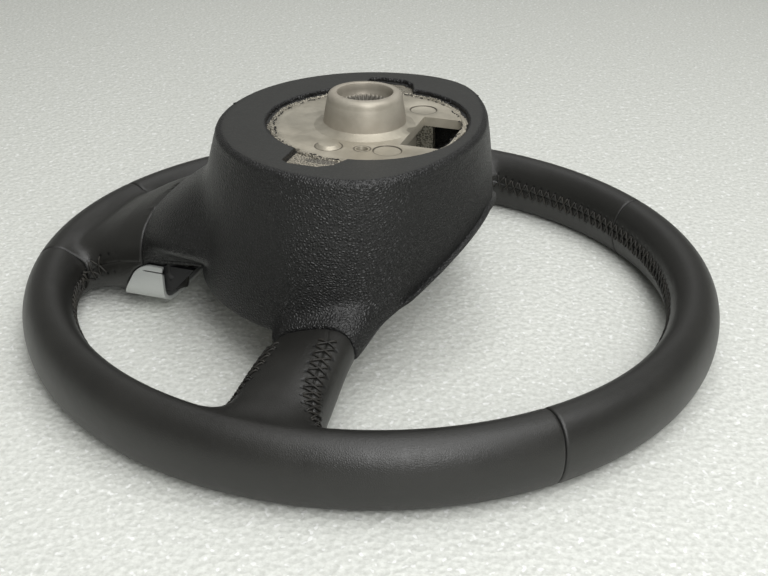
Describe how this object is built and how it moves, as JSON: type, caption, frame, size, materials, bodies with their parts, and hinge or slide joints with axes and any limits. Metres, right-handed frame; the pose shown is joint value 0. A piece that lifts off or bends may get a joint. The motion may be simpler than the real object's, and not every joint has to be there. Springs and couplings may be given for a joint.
{
  "type": "car steering wheel",
  "caption": "Three-spoke leather-covered car steering wheel, bare and without its airbag module, with a splined column bush and a silver bottom spoke trim.",
  "frame": {"origin": "centre of the rim's outline on the floor that the wheel lies on, face down", "axes": "+Z to the back of the wheel and along the steering column, +Y to 12 o'clock, +X to the driver's left, 9 o'clock"},
  "size_m": [0.375, 0.375, 0.128],
  "materials": {
    "cast_alloy": "dull as-cast light alloy",
    "turned_steel": "satin turned steel",
    "grained_foam": "fine leather grain, satin",
    "smooth_leather": "smooth satin leather",
    "silver_paint": "satin silver paint",
    "black_plastic": "matt moulded",
    "black_steel": "black coated",
    "spring_wire": "drawn wire"
  },
  "bodies": {
    "root": {"armature": "cast_alloy", "splined_bush": "turned_steel", "foam_body": "grained_foam", "leather_top": "smooth_leather", "leather_left": "smooth_leather", "leather_right": "smooth_leather", "leather_bottom": "smooth_leather", "spoke_trim": "silver_paint", "trim_carrier": "black_plastic", "trim_screws": "black_steel", "catch_spring_left": "spring_wire", "catch_spring_right": "spring_wire"}
  },
  "joints": []
}
